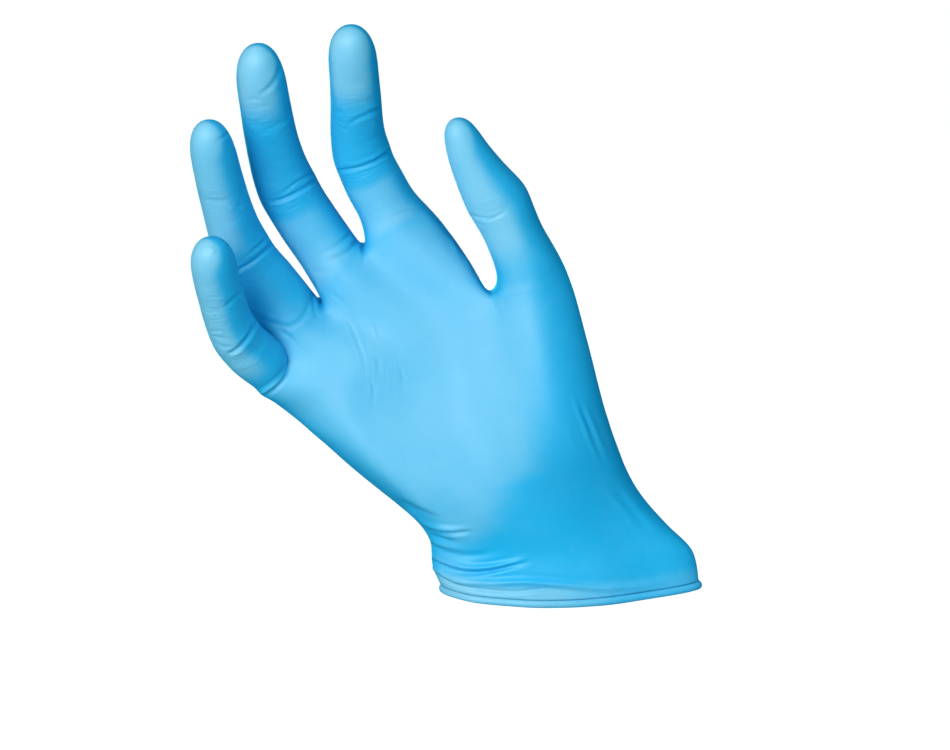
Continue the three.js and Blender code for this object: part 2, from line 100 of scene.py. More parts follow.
# Rows across the glove from the rim up: across and up at the two edges, bow, share on the
# fingers' side of the thumb's web, depths towards the palm side and behind, and at the edges
ROWS = (
    ((-0.356, 0.7), (-0.58, -1.19), -0.034, 0.66,
     (0.42, 0.52, 0.5, 0.42, 0.28), (0.48, 0.61, 0.55, 0.45, 0.22), (0, 0.04)),
    ((-0.37, 0.705), (-0.42, -0.97), -0.02, 0.66,
     (0.41, 0.51, 0.49, 0.42, 0.28), (0.48, 0.61, 0.55, 0.45, 0.22), (0, 0.04)),
    ((-0.372, 0.7), (-0.29, -0.81), -0.013, 0.66,
     (0.4, 0.5, 0.48, 0.42, 0.29), (0.47, 0.6, 0.55, 0.46, 0.23), (0, 0.04)),
    ((-0.362, 0.675), (-0.16, -0.68), -0.013, 0.66,
     (0.41, 0.5, 0.48, 0.43, 0.3), (0.46, 0.59, 0.54, 0.46, 0.24), (0, 0.04)),
    ((-0.356, 0.635), (-0.03, -0.53), -0.013, 0.66,
     (0.44, 0.52, 0.5, 0.46, 0.32), (0.46, 0.58, 0.54, 0.47, 0.25), (0, 0.04)),
    ((-0.386, 0.565), (0.055, -0.2), -0.013, 0.66,
     (0.51, 0.6, 0.57, 0.53, 0.4), (0.45, 0.56, 0.52, 0.46, 0.25), (0, 0.06)),
    ((-0.482, 0.505), (0.16, 0.06), 0, 0.66,
     (0.58, 0.66, 0.65, 0.68, 0.6), (0.42, 0.52, 0.5, 0.42, 0.16), (0.03, 0.2)),
    ((-0.592, 0.478), (0.265, 0.18), 0.013, 0.66,
     (0.61, 0.62, 0.63, 0.79, 0.84), (0.42, 0.48, 0.46, 0.36, 0.06), (0.06, 0.39)),
    ((-0.686, 0.46), (0.369, 0.32), 0.025, 0.68,
     (0.59, 0.53, 0.54, 0.77, 0.95), (0.42, 0.46, 0.44, 0.3, -0.03), (0.1, 0.48)),
    ((-0.732, 0.452), (0.415, 0.486), 0.07, 0.71,
     (0.56, 0.45, 0.45, 0.66, 0.9), (0.42, 0.45, 0.42, 0.16, -0.1), (0.13, 0.48)),
    ((-0.772, 0.437), (0.455, 0.722), 0.132, 0.74,
     (0.55, 0.42, 0.42, 0.54, 0.8), (0.42, 0.43, 0.38, -0.18, -0.12), (0.15, 0.46)),
)
# The webs at the fingers' bases from the little finger's edge on: across, up, out
WEBS = (
    (-0.884, 0.598, 0.16), (-0.737, 0.688, 0.16), (-0.546, 0.82, 0.04), (-0.349, 0.978, 0),
    (-0.062, 1.026, 0),
)
WEB_DEPTHS = (0.24, 0.22)  # towards the palm side and behind, at a web
KNUCKLE_DEPTHS = (0.38, 0.3)  # the same between two webs
EDGE_BULGE = 0.025  # of the index finger's edge, as a share of the palm's breadth
WEB_DIP = 0.035  # how far the webs sink to the wrist, as a share of the palm's length
ROWS_TO_FINGERS = 3  # from the last of ROWS to the fingers' bases
COLUMNS = 10  # of faces across a row's front, and across its back
SPLIT_COLUMN = 8  # where the thumb parts from the long fingers
DEPTH_COLUMNS = (1, 4, 6, 8, 9)  # where ROWS gives depths
INSET = 0.055  # of a row's front and back from its ends, as a share of its breadth
EDGE_FULLNESS = 0.62  # of the outermost columns, between a row's edge and its next depth
ROUNDING = 1.085  # makes up for what smoothing takes off a finger's rings
BONE_STEPS = 60  # points of a finger's centre line to each bone
ROUNDS = 4  # of smoothing
BEAD_DROP = 0.8  # how far the bead's middle lies below the rim, in its radii
BEAD_TURNS = (-75, 235, 14)  # round the bead: first and last of its rings in degrees, how many

# The photograph's camera: pixels per millimetre at the wrist, distance, angles, and the pixel
# where the part's origin falls
PHOTO_SIZE = (950, 750)
PHOTO_SCALE = 3.25
PHOTO_DISTANCE = 900 * MM
PHOTO_ELEVATION = math.radians(8)
PHOTO_ROLL = math.radians(12)
PHOTO_ORIGIN = (530, 600)
FOCAL_PIXELS = PHOTO_SCALE / MM * PHOTO_DISTANCE
LINE_STEPS = 12  # points between two of a fold's points
LINE_REACH = 5  # how far a fold is felt, in its widths
LIPS = (0.25, 1.8)  # beside a crease: their height as a share of its depth, their place in widths

# Folds and creases as they cross the photograph's frame, read off: where, the points
# that the line goes through, its height (negative for a crease) and its width in millimetres,
# and the shares of its length over which it dies away at its start and its end, if not FADES
FADES = (0.3, 0.5)
LINES = (
    # index finger
    ("index", ((388, 106), (372, 113), (360, 118), (351, 123), (346, 129)), -0.5, 0.6, 0, 0.35),
    ("index", ((328, 110), (337, 112), (346, 114)), -0.2, 0.5, 0, 0.5),
    ("index", ((337, 127), (344, 129), (352, 129)), -0.18, 0.5, 0.4, 0.4),
    ("index", ((398, 145), (384, 156), (370, 164), (355, 169), (338, 171)), -0.6, 0.6, 0, 0),
    ("index", ((396, 153), (380, 160), (369, 168)), -0.35, 0.5, 0, 0.5),
    ("index", ((385, 133), (372, 140), (356, 143)), -0.1, 0.6),
    (None, ((431, 207), (412, 211), (398, 214), (388, 218)), -0.35, 0.6),
    (None, ((449, 236), (455, 246), (461, 262)), 0.22, 0.8, 0.3, 0.6),
    (None, ((460, 247), (467, 258), (472, 274)), 0.25, 0.8, 0.3, 0.6),
    (None, ((470, 260), (477, 270), (481, 284)), 0.22, 0.8, 0.3, 0.6),
    # middle finger
    ("middle", ((281, 62), (277, 77), (270, 87), (257, 97)), -0.35, 0.8, 0.3, 0.3),
    ("middle", ((246, 101), (254, 99), (263, 101)), -0.15, 0.5, 0.4, 0.4),
    ("middle", ((256, 106), (264, 107), (273, 103)), -0.15, 0.5, 0.4, 0.4),
    ("middle", ((253, 134), (263, 133), (272, 129), (282, 123), (294, 115)), -0.25, 0.5, 0.3, 0.2),
    ("middle", ((322, 166), (306, 177), (295, 184), (284, 192), (275, 199)), -0.45, 0.55, 0, 0.4),
    ("middle", ((324, 175), (306, 188), (294, 195), (282, 200), (264, 203)), -0.6, 0.6, 0, 0.1),
    ("middle", ((300, 150), (285, 160), (268, 163)), -0.1, 0.6),
    (None, ((356, 228), (345, 239), (333, 248), (321, 254)), -0.4, 0.7, 0.2, 0.6),
    (None, ((360, 237), (350, 250), (338, 257), (322, 262)), -0.5, 0.7, 0.1, 0.5),
    (None, ((311, 271), (320, 272), (332, 272)), -0.3, 0.6, 0.1, 0.6),
    # ring finger
    ("ring", ((232, 129), (224, 137), (215, 142)), -0.25, 0.6, 0.1, 0.5),
    ("ring", ((220, 203), (231, 204), (240, 207), (246, 203)), -0.22, 0.5, 0.4, 0.2),
    ("ring", ((245, 190), (241, 200), (238, 214)), -0.15, 0.6),
    ("ring", ((272, 231), (262, 243), (254, 250), (245, 258)), -0.4, 0.5, 0, 0.4),
    ("ring", ((278, 239), (264, 253), (250, 264), (234, 273)), -0.55, 0.6, 0, 0),
    ("ring", ((238, 281), (250, 283), (264, 285)), -0.12, 0.5),
    ("ring", ((242, 289), (251, 288), (259, 290)), -0.1, 0.5),
    (None, ((252, 314), (264, 320), (276, 324), (288, 327), (299, 322), (307, 311), (311, 298),
            (313, 289)), -0.4, 0.8, 0, 0.1),
    # little finger
    ("little", ((209, 247), (212, 250), (215, 254)), 0.3, 0.9, 0.3, 0.3),
    ("little", ((242, 292), (232, 301), (221, 312)), -0.35, 0.6, 0, 0.5),
    ("little", ((205, 330), (215, 332), (225, 330)), -0.14, 0.5, 0.3, 0.4),
    ("little", ((210, 336), (221, 338), (234, 341)), -0.14, 0.5, 0.3, 0.4),
    ("little", ((214, 343), (226, 347), (238, 346)), -0.14, 0.5, 0.3, 0.4),
    ("little", ((259, 314), (252, 330), (246, 340), (238, 349), (226, 356)), -0.65, 0.7, 0, 0.2),
    (None, ((288, 360), (287, 367), (281, 377), (272, 386), (260, 394)), 0.55, 0.7, 0.6, 0.1),
    (None, ((293, 362), (290, 371), (283, 381), (275, 389), (266, 396)), -0.2, 0.7, 0.6, 0.3),
    (None, ((277, 330), (286, 334), (294, 341), (295, 349)), -0.45, 0.6, 0.2, 0.3),
    (None, ((296, 336), (304, 340), (312, 348), (317, 358)), -0.15, 0.6),
    # thumb
    ("thumb", ((469, 215), (480, 218), (490, 219), (500, 215), (511, 207)), -0.25, 0.5, 0, 0.3),
    ("thumb", ((472, 223), (481, 225), (490, 225)), -0.12, 0.5),
    # webs and palm
    (None, ((364, 236), (363, 248), (364, 258), (362, 270)), -0.6, 0.5, 0, 0.6),
    (None, ((314, 285), (314, 300), (315, 312), (321, 323)), -0.6, 0.5, 0, 0.6),
    (None, ((493, 285), (491, 297), (495, 306), (500, 318), (504, 328)), -0.32, 0.45, 0, 0.5),
    ("palm", ((318, 289), (333, 295), (345, 305), (353, 317), (362, 328), (372, 345)),
     -0.26, 0.45, 0.1, 0.5),
    ("palm", ((340, 312), (350, 324), (357, 340), (362, 354), (366, 372), (367, 392)),
     -0.21, 0.45, 0.3, 0.6),
    ("palm", ((365, 317), (373, 328), (378, 343)), 0.2, 0.6),
    ("palm", ((374, 354), (379, 365), (376, 380)), -0.15, 0.5),
    ("palm", ((370, 376), (374, 392), (371, 408)), -0.15, 0.5),
    ("palm", ((399, 366), (403, 378), (401, 390)), -0.12, 0.5),
    # pulled from the ball of the thumb towards the rim
    (None, ((571, 390), (580, 414), (588, 436), (595, 453), (603, 472)), 0.3, 0.7),
    (None, ((575, 396), (586, 420), (595, 443), (602, 462)), -0.3, 0.6),
    (None, ((584, 402), (594, 426), (603, 448), (612, 470)), 0.22, 0.8),
    ("palm", ((563, 420), (571, 438), (579, 456)), 0.16, 0.8, 0.4, 0.5),
    ("palm", ((528, 430), (538, 452), (549, 474)), 0.14, 0.9, 0.4, 0.5),
    ("palm", ((556, 474), (566, 490), (579, 508)), 0.12, 0.8, 0.4, 0.5),
    ("palm", ((600, 480), (620, 506), (645, 536)), 0.25, 1.2, 0.4, 0.5),
    ("palm", ((616, 478), (638, 508), (664, 538)), 0.22, 1.2, 0.4, 0.4),
    # gathers of the wrist and cuff
    (None, ((402, 503), (418, 511), (434, 517), (452, 520)), -0.6, 1.0, 0, 0.6),
    (None, ((408, 512), (422, 522), (436, 527), (452, 529), (472, 528)), 0.8, 0.7, 0, 0.4),
    (None, ((410, 518), (424, 528), (440, 532), (456, 533), (476, 531)), -0.8, 0.6, 0, 0.3),
    (None, ((418, 526), (430, 534), (446, 540), (462, 543)), -0.7, 0.7, 0, 0.5),
    (None, ((420, 532), (432, 540), (446, 546), (466, 549)), 0.5, 0.8, 0, 0.5),
    (None, ((424, 540), (438, 550), (458, 556), (482, 555), (504, 548)), -0.75, 1.1, 0, 0.6),
    (None, ((430, 554), (446, 562), (466, 567), (486, 567), (506, 564), (530, 557)),
     0.95, 0.8, 0.1, 0.4),
    (None, ((446, 569), (464, 573), (486, 572), (508, 567), (534, 561)), -0.85, 0.7, 0.2, 0.4),
    (None, ((434, 568), (458, 580), (490, 583), (526, 582), (566, 585), (604, 588), (650, 584),
            (690, 574)), 1.0, 1.0, 0, 0.5),
    (None, ((434, 572), (452, 584), (482, 590), (516, 592), (546, 589), (572, 590)),
     -0.65, 0.6, 0.1, 0.3),
)

# Where the fingers are painted paler, for film stretched thin over the pads together with a painted
# highlight on the side that faces the key light: how far its middle is turned from the pad towards
# the little finger, in degrees, and from which to which share of the finger's length, and how pale
STRETCH_AND_HIGHLIGHT = {
    "little": (46, ((0.3, 1.1, 1.0),)),
    "ring": (36, ((0.5, 1.1, 0.85),)),
    "middle": (16, ((0.77, 1.1, 1.0), (0.1, 0.42, 0.45))),
    "index": (12, ((0.73, 1.1, 1.0), (0.1, 0.4, 0.5))),
    "thumb": (34, ((0.52, 1.1, 0.85),)),
}
THUMB_ROOT = (0.46, 0.6)  # shares of the thumb's length where the palm's colour goes over to it
THUMB_WRINKLES = 0.6  # how strong the wrinkles at its joints are beside those of the others
# How much paler the palm is painted where it faces the front, for stretched film and a painted
# highlight where the key light falls, and how much paler the back of the hand is
PALM_PALE = 0.55
BACK_PALE = 0.45
# The band above the bead is painted paler as a highlight along its ridge, weaker towards the
# thumb's side
RIM_BAND = (7 * MM, 0.85)  # the paler band above the bead: its height and how pale
RIM_FADE = (540, 640)  # where it gets weaker towards the thumb's side, in pixels across
# Where the palm's paler film with its painted highlight ends towards the thumb's side and the
# wrist: down, across and how far before and past that it fades, in pixels
PLATE_EDGE = ((180, 240, 290, 470, 490, 530, 550), (508, 530, 545, 545, 512, 500, 470))
PLATE_FADE = (-34, 16)
# Patches of fine wrinkles on the palm: middle, and reach across and down, in pixels
WRINKLED = (((380, 375), (42, 45)), ((318, 330), (30, 34)), ((340, 262), (24, 20)))
# The marks stored on the film's points; stretch holds stretched film together with a painted
# highlight
MARKS = ("stretch", "way_along", "joints", "gathers")

# Creases of a joint, in millimetres: how far along it they reach, the press on its pad, the
# creases on its back as shift in reaches and depth, and the swell that they lie on
JOINT_REACH = 2.4
JOINT_DEPTHS = (1.0, 0.7)  # of the middle and the last joint, beside each other
PAD_PRESS = 0.3
BACK_CREASES = ((-1.1, 0.22), (0, 0.3), (1.2, 0.24), (2.3, 0.12))
BACK_SWELL = 0.3
# The back of the hand, height and breadth in millimetres
TENDON = (0.7, 2.2)
KNUCKLE = (0.9, 6.5)
GATHERS = (0.3, 1.05, 0.5)  # round the wrist: height in millimetres, middle and reach in cuffs

# Where the net is evened out: middle and reach in pixels
EVENED = (((316, 381), 27), ((475, 430), 38))
EVENED_BACK = 0.7  # how much of that the whole back gets
EVENING_STEPS = 6


class Film:
    """Points and four-sided faces. Each point carries its place and its share of each finger."""

    def __init__(self):
        self.points = []
        self.faces = []

    def add(self, place, finger=None):
        shares = [0.0] * len(FINGERS)
        if finger is not None:
            shares[list(FINGERS).index(finger)] = 1.0
        self.points.append([*place, *shares])
        return len(self.points) - 1

    def add_row(self, front, back, left, right):
        """A row's front, back, left and right points, and its loop."""
        front = [self.add(p) for p in front]
        right = self.add(right)
        back = [self.add(p) for p in back]
        left = self.add(left)
        return front, back, left, right, [*front, right, *back[::-1], left]

    def strip(self, lower, upper):
        self.faces += faces_between(lower, upper)


def faces_between(lower, upper):
    """Faces between two loops of as many points."""
    corners = zip(lower, np.roll(lower, -1), np.roll(upper, -1), upper)
    return [tuple(map(int, face)) for face in corners]


def smoothstep(x, low, high):
    t = np.clip((np.asarray(x) - low) / (high - low), 0, 1)
    return t * t * (3 - 2 * t)


def mix(a, b, t):
    return a + (b - a) * t


def bell(x):
    return np.exp(-x * x)


def lengths(ways):
    return np.linalg.norm(ways, axis=-1)


def unit(ways):
    return ways / np.maximum(lengths(ways), 1e-12)[..., None]


def arch(share):
    return 4 * share * (1 - share)


def shares_along(points):
    """At which shares of a curve's length its points lie, and that length."""
    steps = lengths(np.diff(points, axis=0))
    return np.concatenate([[0], np.cumsum(steps)]) / steps.sum(), steps.sum()


def add_beside(sums, values, edges):
    """Adds to the sum at each point the values at the other ends of its edges."""
    np.add.at(sums, edges[:, 0], values[edges[:, 1]])
    np.add.at(sums, edges[:, 1], values[edges[:, 0]])
    return sums


def height_of(size, up):
    return size.cuff_length + up * (size.cuff_length if up < 0 else size.palm_length)


def row_height(size, row, share):
    """Height of a row at a share of the way across it."""
    low, high = (height_of(size, up) for up in row[1])
    return mix(low, high, share) + arch(share) * row[2] * size.palm_breadth


def place_of(size, across, up, out):
    return np.array([across * size.palm_breadth, -out * size.palm_depth, height_of(size, up)])


def depth_at(depths, edges, column):
    """Depth of a row at one of its columns, from its depths at its edges and between them."""
    first, last = (mix(e, d, EDGE_FULLNESS) for e, d in zip(edges, (depths[0], depths[-1])))
    return float(np.interp(column, (0, *DEPTH_COLUMNS, COLUMNS), (first, *depths, last)))


def row_points(size, row):
    """One row of the palm or cuff: its front, its back and its two ends."""
    across, _, _, web, ahead, behind, edges = row

    def place(s, out):
        return np.array([mix(*across, s) * size.palm_breadth, -out * size.palm_depth,
                         row_height(size, row, s)])

    front, back = [], []
    for j in range(COLUMNS + 1):
        s = mix(INSET, 1 - INSET, float(np.interp(j, (0, SPLIT_COLUMN, COLUMNS), (0, web, 1))))
        front.append(place(s, depth_at(ahead, edges, j)))
        back.append(place(s, -depth_at(behind, [-e for e in edges], j)))
    return front, back, [place(0, edges[0]), place(1, edges[1])]


def finger_base_row(size):
    """The row at the fingers' bases, turned with the fingers."""
    web = [place_of(size, *w) for w in WEBS]
    tilts = [math.radians(FINGERS[name]["tilt"][0]) for name in LONG_FINGERS]
    front, back = [], []
    for j in range(SPLIT_COLUMN + 1):
        is_web = j % 2 == 0
        at = web[j // 2].copy() if is_web else (web[(j - 1) // 2] + web[(j + 1) // 2]) / 2
        ahead, behind = (d * size.palm_depth for d in (WEB_DEPTHS if is_web else KNUCKLE_DEPTHS))
        both = [tilts[min(max(f, 0), 3)] for f in ((j - 1) // 2, j // 2)]
        turn = math.tan(sum(both) / 4)
        if is_web and 0 < j < SPLIT_COLUMN:
            at[2] -= WEB_DIP * size.palm_length
        front.append(at + (0, -ahead, -ahead * turn))
        back.append(at + (0, behind, behind * turn))
    return front, back, [web[0], web[-1]]


class FingerLine:
    """A finger's centre line through its joints, with places by share of its length."""

    def __init__(self, size, name):
        finger = FINGERS[name]
        joint = place_of(size, *finger["root"])
        joints = [joint]
        for share, lean, tilt in zip(finger["bones"], finger["lean"], finger["tilt"]):
            a, b = math.radians(lean), math.radians(tilt)
            way = np.array([-math.sin(a) * math.cos(b), -math.sin(b), math.cos(a) * math.cos(b)])
            joint = joint + way * share * finger["length"] * MM * size.finger_scale
            joints.append(joint)
        self.points = through(joints, BONE_STEPS)
        self.at, self.length = shares_along(self.points)
        self.joints = np.cumsum(finger["bones"])[:2]

    def place(self, share):
        return np.array([np.interp(share, self.at, self.points[:, k]) for k in range(3)]).T

    def frame(self, share):
        along = unit(self.place(min(share + 0.004, 1)) - self.place(max(share - 0.004, 0)))
        pad = np.array([0, -1.0, 0])
        return self.place(share), along, unit(pad - along * pad.dot(along))


def through(joints, steps):
    """A smooth centripetal curve through points, as steps points a stretch."""
    joints = [np.asarray(j, float) for j in joints]
    ends = [2 * joints[0] - joints[1], *joints, 2 * joints[-1] - joints[-2]]
    made = []
    for p, q, r, s in zip(ends, ends[1:], ends[2:], ends[3:]):
        a, b, c = (max(math.sqrt(np.linalg.norm(v - u)), 1e-9) for u, v in ((p, q), (q, r), (r, s)))
        start = ((q - p) / a - (r - p) / (a + b) + (r - q) / b) * b
        end = ((r - q) / b - (s - q) / (b + c) + (s - r) / c) * b
        t = np.linspace(0, 1, steps, endpoint=False)[:, None]
        made.append(q + start * t + (3 * (r - q) - 2 * start - end) * t**2
                    + (2 * (q - r) + start + end) * t**3)
    return np.vstack([*made, joints[-1]])


def add_finger(film, size, base, name):
    """Carries a tube from its base loop of eight points up a finger and closes its tip."""
    finger = FINGERS[name]
    line = FingerLine(size, name)
    rings, taper = (THUMB_RINGS, THUMB_TAPER) if name == "thumb" else (FINGER_RINGS, FINGER_TAPER)
    below = base
    for at, wide, deep, aside in rings:
        low = mix(finger["base"], finger["breadth"], float(smoothstep(at, *BASE_TAPER)))
        breadth = mix(low, finger["tip"], float(smoothstep(at, *taper))) * MM * size.finger_scale
        centre, along, pad = line.frame(at)
        side = np.cross(pad, along)
        centre = centre - side * aside * breadth
        loop = []
        for k in range(8):
            angle = (k - 1) * math.pi / 4
            loop.append(film.add(
                centre - side * math.sin(angle) * wide * breadth / 2 * ROUNDING
                + pad * math.cos(angle) * deep * breadth / 2 * ROUNDING, name))
        film.strip(below, loop)
        below = loop
    tip = film.add(line.place(1.0), name)
    for corner in (0, 2, 4, 6):
        film.faces.append((below[(corner + 7) % 8], below[corner], below[(corner + 1) % 8], tip))


def film_net(size):
    """The whole film as a coarse net, open at the rim."""
    film = Film()
    rows = [row_points(size, row) for row in ROWS]
    below = rim = None
    for front, back, ends in rows:
        row = film.add_row(front, back, *ends)
        if below:
            film.strip(below[-1], row[-1])
        else:
            rim = row[-1]
        below = row
    front, back, ends = rows[-1]
    cut = SPLIT_COLUMN
    middle = (front[cut] + back[cut]) / 2
    web = film.add(middle)
    add_finger(film, size, [*below[0][cut:], below[3], *below[1][cut:][::-1], web], "thumb")
    top_front, top_back, top_ends = finger_base_row(size)
    row = (below[0][:cut + 1], below[1][:cut + 1], below[2], web)
    for k in range(1, ROWS_TO_FINGERS + 1):
        t = k / ROWS_TO_FINGERS
        right_end = mix(middle, top_ends[1], t)
        right_end[0] += arch(t) * EDGE_BULGE * size.palm_breadth
        f = [mix(p, q, t) for p, q in zip(front[:cut + 1], top_front)]
        b = [mix(p, q, t) for p, q in zip(back[:cut + 1], top_back)]
        upper = film.add_row(f, b, mix(ends[0], top_ends[0], t), right_end)
        film.strip([*row[0], row[3], *row[1][::-1], row[2]], upper[-1])
        row = upper
    webs = [row[2]]
    webs += [film.add((top_front[j] + top_back[j]) / 2) for j in range(2, cut, 2)]
    webs.append(row[3])
    for k, name in enumerate(LONG_FINGERS):
        base = [*row[0][2 * k:2 * k + 3], webs[k + 1], *row[1][2 * k:2 * k + 3][::-1], webs[k]]
        add_finger(film, size, base, name)
    return np.array(film.points), np.array(film.faces), np.array(rim)


class Round:
    """One round of Catmull-Clark smoothing of a net of quads. The rim stays its edge."""

    def __init__(self, count, faces):
        sides = np.stack([faces, np.roll(faces, -1, 1)], -1).reshape(-1, 2)
        edges, which, uses = np.unique(np.sort(sides, 1), axis=0, return_inverse=True,
                                       return_counts=True)
        self.count, self.faces, self.edges = count, faces, edges
        self.which = which.reshape(-1, 4)
        self.inner = uses == 2
        self.valence = np.bincount(edges.ravel(), minlength=count)[:, None]
        first_edge, first_face = count, count + len(edges)
        self.total = first_face + len(faces)
        middle = first_face + np.arange(len(faces))
        self.made = np.concatenate([
            np.stack([faces[:, i], first_edge + self.which[:, i], middle,
                      first_edge + self.which[:, i - 1]], 1) for i in range(4)])

    def apply(self, values):
        middles = values[self.faces].mean(1)
        both = values[self.edges].sum(1)
        beside = np.zeros_like(both)
        np.add.at(beside, self.which.ravel(), np.repeat(middles, 4, 0))
        edge_points = np.where(self.inner[:, None], (both + beside) / 4, both / 2)
        around = np.zeros_like(values)
        np.add.at(around, self.faces.ravel(), np.repeat(middles, 4, 0))
        add_beside(around, values, self.edges)
        n = self.valence
        moved = around / (n * n) + values * (n - 2) / n
        rim = self.edges[~self.inner]
        beside_rim = add_beside(np.zeros_like(values), values, rim)
        on_rim = np.unique(rim)
        moved[on_rim] = values[on_rim] * 6 / 8 + beside_rim[on_rim] / 8
        return np.vstack([moved, edge_points, middles])

    def rim(self, loop):
        """The rim's loop after this round: its points with a new one between each two."""
        numbers = {tuple(e): i for i, e in enumerate(self.edges.tolist())}
        made = []
        for v, w in zip(loop, np.roll(loop, -1)):
            made += [v, self.count + numbers[(min(v, w), max(v, w))]]
        return np.array(made)


def outward(places, faces):
    """Outward directions at the points of a net of quads."""
    p, q, r, s = (places[faces[:, i]] for i in range(4))
    across = np.cross(r - p, s - q)
    out = np.zeros_like(places)
    for i in range(4):
        np.add.at(out, faces[:, i], across)
    return unit(out)


def even_out(values, net):
    """Evens out the palm side of a net at the places named for it, and the whole back."""
    out = outward(values[:, :3], net.faces)
    spots = in_photograph(values[:, :3])
    weight = sum(bell(lengths(spots - middle) / reach) for middle, reach in EVENED)
    palm = 1 - np.clip(values[:, 3:].sum(1), 0, 1)
    weight *= smoothstep(-out[:, 1], 0.1, 0.6)
    weight = (weight + EVENED_BACK * palm * smoothstep(out[:, 1], 0.4, 0.9))[:, None]
    for _ in range(EVENING_STEPS):
        around = add_beside(np.zeros_like(values), values, net.edges)
        values = values + 0.5 * weight * (around / net.valence - values)
    return values


def camera_axes():
    """The photograph's camera: its place and the ways right, up and forward."""
    ahead = np.array([0, math.cos(PHOTO_ELEVATION), -math.sin(PHOTO_ELEVATION)])
    level = np.array([1.0, 0, 0])
    upright = np.cross(level, ahead)
    c, s = math.cos(PHOTO_ROLL), math.sin(PHOTO_ROLL)
    right, up = c * level - s * upright, s * level + c * upright
    u = (PHOTO_ORIGIN[0] - PHOTO_SIZE[0] / 2) / FOCAL_PIXELS
    v = (PHOTO_SIZE[1] / 2 - PHOTO_ORIGIN[1]) / FOCAL_PIXELS
    return -(ahead + u * right + v * up) * PHOTO_DISTANCE, right, up, ahead


def in_photograph(places):
    """Where places fall in the photograph's frame, in pixels."""
    eye, right, up, ahead = camera_axes()
    away = places - eye
    depth = away @ ahead
    return np.stack([PHOTO_SIZE[0] / 2 + FOCAL_PIXELS * (away @ right) / depth,
                     PHOTO_SIZE[1] / 2 - FOCAL_PIXELS * (away @ up) / depth], 1)


def line_lift(spots, strength, line, size):
    """How far one fold or crease lifts the film at each spot of the photograph's frame."""
    _, points, height, width, *fades = line
    ridge = through(points, LINE_STEPS)
    at, _ = shares_along(ridge)
    reach = LINE_REACH * width * PHOTO_SCALE
    near = ((spots > ridge.min(0) - reach) & (spots < ridge.max(0) + reach)).all(1)
    near &= strength > 0
    lift = np.zeros(len(spots))
    if not near.any():
        return lift
    here = spots[near]
    k = lengths(here[:, None] - ridge[None]).argmin(1)
    way = unit(np.gradient(ridge, axis=0))
    away = here - ridge[k]
    past = (away * way[k]).sum(1) / PHOTO_SCALE
    aside = (away[:, 0] * way[k, 1] - away[:, 1] * way[k, 0]) / PHOTO_SCALE
    start, end = (smoothstep(a, -0.02, fade) for a, fade in zip((at[k], 1 - at[k]), fades or FADES))
    x = aside / width
    lips, beside = LIPS
    section = bell(x) - lips * (bell(x + beside) + bell(x - beside))
    lift[near] = section * start * end * bell(past / width) * height * MM * size.fold_depth
    return lift * strength


def finger_ways(places, shares, size):
    """Of each finger: its points, how far along it they lie, its way there and its pad's."""
    for k, name in enumerate(FINGERS):
        mine = np.flatnonzero(shares[:, k] > 0.3)
        line = FingerLine(size, name)
        near = lengths(places[mine, None] - line.points[None, ::3]).argmin(1)
        way = unit(np.gradient(line.points, axis=0)[::3][near])
        past = ((places[mine] - line.points[::3][near]) * way).sum(1)
        pad = unit(np.array([0, -1.0, 0]) + way * way[:, 1:2])
        yield name, mine, line, line.at[::3][near] * line.length + past, way, pad, shares[mine, k]


def joint_lift(places, out, shares, size):
    """Soft creases at the joints, across the pads and over the backs of the fingers."""
    lift = np.zeros(len(places))
    for _, mine, line, along, _, pad, share in finger_ways(places, shares, size):
        facing = (out[mine] * pad).sum(1)
        behind = np.clip(-facing, 0, 1)
        for joint, depth in zip(line.joints, JOINT_DEPTHS):
            x = (along - joint * line.length) / (JOINT_REACH * MM)
            press = PAD_PRESS * depth * np.clip(facing, 0, 1) * bell(x)
            for shift, deep in BACK_CREASES:
                press += deep * depth * behind * bell((x - shift) * 2.6)
            press -= BACK_SWELL * depth * behind * bell(x / 2.2)
            lift[mine] -= press * smoothstep(share, 0.3, 0.8) * MM * size.fold_depth
    return lift


def back_lift(places, out, size):
    """Low knuckles on the back of the hand, and the tendons that run from them to the wrist."""
    lift = np.zeros(len(places))
    wrist = place_of(size, 0.05, 0.1, 0)
    for name in LONG_FINGERS:
        knuckle = place_of(size, *FINGERS[name]["root"])
        way = wrist - knuckle
        t = np.clip((places - knuckle) @ way / (way @ way), 0, 1)
        aside = lengths((places - knuckle - t[:, None] * way)[:, [0, 2]])
        from_knuckle = lengths((places - knuckle)[:, [0, 2]])
        lift += TENDON[0] * bell(aside / (TENDON[1] * MM)) * (1 - smoothstep(t, 0.3, 0.8))
        lift += KNUCKLE[0] * bell(from_knuckle / (KNUCKLE[1] * MM))
    return lift * smoothstep(out[:, 1], 0.45, 0.95) * MM * size.fold_depth


def gather_lift(places, out, size):
    """Shallow gathers round the back of the wrist."""
    x, _, z = (places / size.cuff_length).T
    waves = np.sin(11 * z + 2.3 * x + 0.7 * np.sin(4 * x + 1)) ** 3
    uneven = 0.6 + 0.4 * np.sin(3.7 * x + 2.9 * z)
    height, middle, reach = GATHERS
    here = bell((z - middle) / reach) * smoothstep(out[:, 1], 0.1, 0.7)
    return height * waves * uneven * here * MM * size.fold_depth


